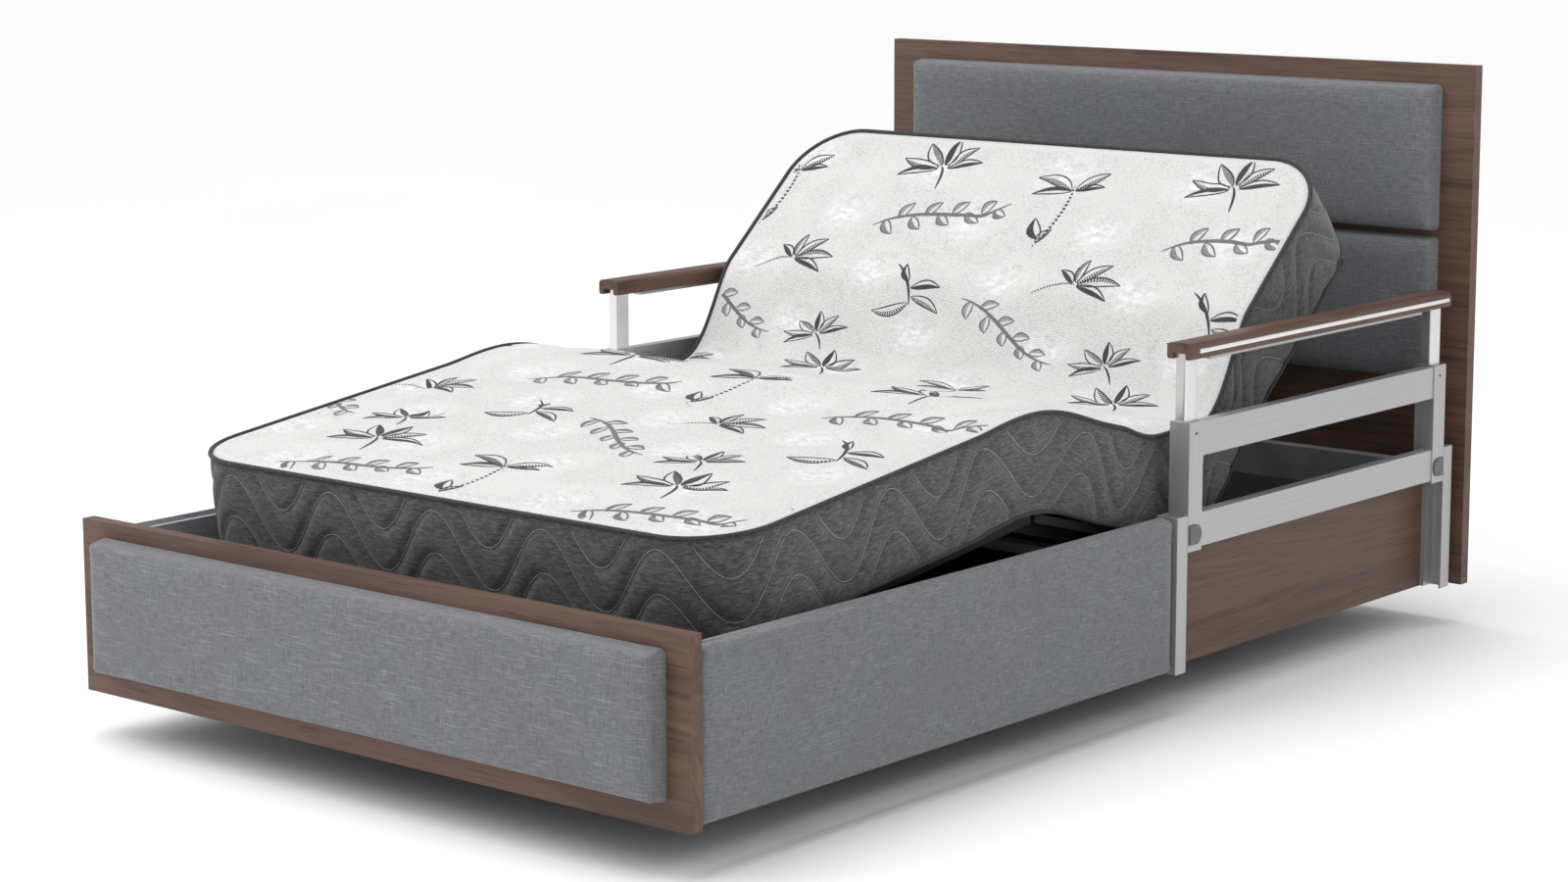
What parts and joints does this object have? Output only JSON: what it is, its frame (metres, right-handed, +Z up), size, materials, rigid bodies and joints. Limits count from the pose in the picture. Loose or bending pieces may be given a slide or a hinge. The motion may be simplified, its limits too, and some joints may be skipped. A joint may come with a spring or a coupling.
{
  "type": "adjustable bed base",
  "caption": "Adjustable homecare bed: articulated deck and quilted mattress in an upholstered walnut surround, with a lift and sliding assist rails.",
  "frame": {"origin": "on the floor, at the middle of the footprint", "axes": "+X to the right seen from the foot end, +Y from the foot to the head, +Z up"},
  "size_m": [1.376, 2.255, 1.06],
  "materials": {
    "walnut": "satin walnut laminate with a long grain",
    "linen": "grey melange linen weave",
    "ticking": "quilted knit ticking with a charcoal border",
    "aluminium": "satin anodised",
    "button_plastic": "fine matte",
    "rubber": "matte",
    "black_board": "black painted board",
    "plated_rod": "zinc plated",
    "motor_plastic": "matte moulded",
    "steel_frame": "black powder coat",
    "steel_bracket": "grey powder coat"
  },
  "bodies": {
    "base": {"base_side_rails": "steel_frame", "base_cross_tubes": "steel_frame", "base_pivot_brackets": "steel_bracket", "levelling_feet": "rubber", "lift_motor": "motor_plastic"},
    "head_arm": {"head_lift_arms": "steel_bracket", "head_torque_tube": "steel_bracket", "lift_crank": "steel_bracket"},
    "foot_arm": {"foot_lift_arms": "steel_bracket", "foot_cross_tube": "steel_bracket"},
    "lift_rod": {"lift_motor_rod": "plated_rod"},
    "back_rod": {"back_motor_rod": "plated_rod"},
    "knee_rod": {"knee_motor_rod": "plated_rod"},
    "back": {"back_frame": "steel_bracket", "back_panel": "black_board", "back_lever": "steel_bracket", "mattress_back": "ticking"},
    "thigh": {"thigh_frame": "steel_bracket", "thigh_panel": "black_board", "thigh_lever": "steel_bracket", "mattress_thigh": "ticking"},
    "leg": {"leg_frame": "steel_bracket", "leg_panel": "black_board", "leg_glide_bar": "steel_frame", "mattress_leg": "ticking"},
    "ladder_left": {"ladder_posts_left": "aluminium", "ladder_bars_left": "aluminium"},
    "top_left": {"top_posts_left": "aluminium", "handle_left": "walnut"},
    "squeeze_left": {"squeeze_bar_left": "aluminium"},
    "button_front_left": {"button_front_left": "button_plastic"},
    "button_rear_left": {"button_rear_left": "button_plastic"},
    "ladder_right": {"ladder_posts_right": "aluminium", "ladder_bars_right": "aluminium"},
    "top_right": {"top_posts_right": "aluminium", "handle_right": "walnut"},
    "squeeze_right": {"squeeze_bar_right": "aluminium"},
    "button_front_right": {"button_front_right": "button_plastic"},
    "button_rear_right": {"button_rear_right": "button_plastic"},
    "deck": {"deck_side_rails": "steel_frame", "deck_cross_tubes": "steel_frame", "deck_pivot_brackets": "steel_bracket", "deck_liners": "black_board", "seat_panel": "black_board", "seat_hinge_plates": "steel_bracket", "headboard": "walnut", "headboard_pad_upper": "linen", "headboard_pad_lower": "linen", "footboard": "walnut", "footboard_pad": "linen", "side_boards": "black_board", "side_pad_left": "linen", "side_pad_right": "linen", "recessed_side_panels": "walnut", "rail_fixed_posts": "aluminium", "panel_brackets": "steel_bracket", "control_box": "motor_plastic", "back_motor": "motor_plastic", "knee_motor": "motor_plastic", "mattress_seat": "ticking"}
  },
  "joints": [
    {"name": "lift", "type": "hinge", "parent": "base", "child": "head_arm", "pos_m": [0, 0.14, 0.085], "axis": [1, 0, 0], "range_deg": [0, 52]},
    {"name": "deck_level", "type": "hinge", "parent": "head_arm", "child": "deck", "pos_m": [0, 0.65929, 0.11221], "axis": [1, 0, 0], "range_deg": [-52.5, 0.5]},
    {"name": "foot_arm_swing", "type": "hinge", "parent": "base", "child": "foot_arm", "pos_m": [0, -0.64, 0.085], "axis": [1, 0, 0], "range_deg": [-0.5, 52.5]},
    {"name": "lift_rod_slide", "type": "slide", "parent": "base", "child": "lift_rod", "axis": [0, -1, 0], "range_m": [-0.001, 0.08]},
    {"name": "back_raise", "type": "hinge", "parent": "deck", "child": "back", "pos_m": [0, 0.3265, 0.273], "axis": [1, 0, 0], "range_deg": [-41.5, 21]},
    {"name": "back_rod_slide", "type": "slide", "parent": "deck", "child": "back_rod", "axis": [0, 1, 0], "range_m": [-0.078, 0.04]},
    {"name": "thigh_raise", "type": "hinge", "parent": "deck", "child": "thigh", "pos_m": [0, 0.2035, 0.273], "axis": [-1, 0, 0], "range_deg": [-14.7, 15.3]},
    {"name": "knee_bend", "type": "hinge", "parent": "thigh", "child": "leg", "pos_m": [0, -0.15052, 0.36588], "axis": [1, 0, 0], "range_deg": [-21.7, 22.6]},
    {"name": "knee_rod_slide", "type": "slide", "parent": "deck", "child": "knee_rod", "axis": [0, -1, 0], "range_m": [-0.026, 0.027]},
    {"name": "ladder_slide_left", "type": "slide", "parent": "deck", "child": "ladder_left", "axis": [0, 0, 1], "range_m": [-0.15, 0]},
    {"name": "top_slide_left", "type": "slide", "parent": "ladder_left", "child": "top_left", "axis": [0, 0, 1], "range_m": [-0.1, 0]},
    {"name": "squeeze_left", "type": "slide", "parent": "top_left", "child": "squeeze_left", "axis": [0, 0, 1], "range_m": [0, 0.004], "stiffness_N_per_m": 2000, "springref_m": -0.001},
    {"name": "button_front_left", "type": "slide", "parent": "ladder_left", "child": "button_front_left", "axis": [1, 0, 0], "range_m": [0, 0.002], "stiffness_N_per_m": 1500, "springref_m": -0.001},
    {"name": "button_rear_left", "type": "slide", "parent": "ladder_left", "child": "button_rear_left", "axis": [1, 0, 0], "range_m": [0, 0.002], "stiffness_N_per_m": 1500, "springref_m": -0.001},
    {"name": "ladder_slide_right", "type": "slide", "parent": "deck", "child": "ladder_right", "axis": [0, 0, 1], "range_m": [-0.15, 0]},
    {"name": "top_slide_right", "type": "slide", "parent": "ladder_right", "child": "top_right", "axis": [0, 0, 1], "range_m": [-0.1, 0]},
    {"name": "squeeze_right", "type": "slide", "parent": "top_right", "child": "squeeze_right", "axis": [0, 0, 1], "range_m": [0, 0.004], "stiffness_N_per_m": 2000, "springref_m": -0.001},
    {"name": "button_front_right", "type": "slide", "parent": "ladder_right", "child": "button_front_right", "axis": [-1, 0, 0], "range_m": [0, 0.002], "stiffness_N_per_m": 1500, "springref_m": -0.001},
    {"name": "button_rear_right", "type": "slide", "parent": "ladder_right", "child": "button_rear_right", "axis": [-1, 0, 0], "range_m": [0, 0.002], "stiffness_N_per_m": 1500, "springref_m": -0.001}
  ],
  "couplings": [
    {"joint": "deck_level", "follows": "lift", "ratio": -1},
    {"joint": "foot_arm_swing", "follows": "lift", "ratio": 1},
    {"joint": "lift_rod_slide", "follows": "lift", "m_per_rad": 0.086943},
    {"joint": "back_rod_slide", "follows": "back_raise", "m_per_rad": 0.1058},
    {"joint": "knee_bend", "follows": "thigh_raise", "ratio": 1.465},
    {"joint": "knee_rod_slide", "follows": "thigh_raise", "m_per_rad": 0.0989}
  ]
}
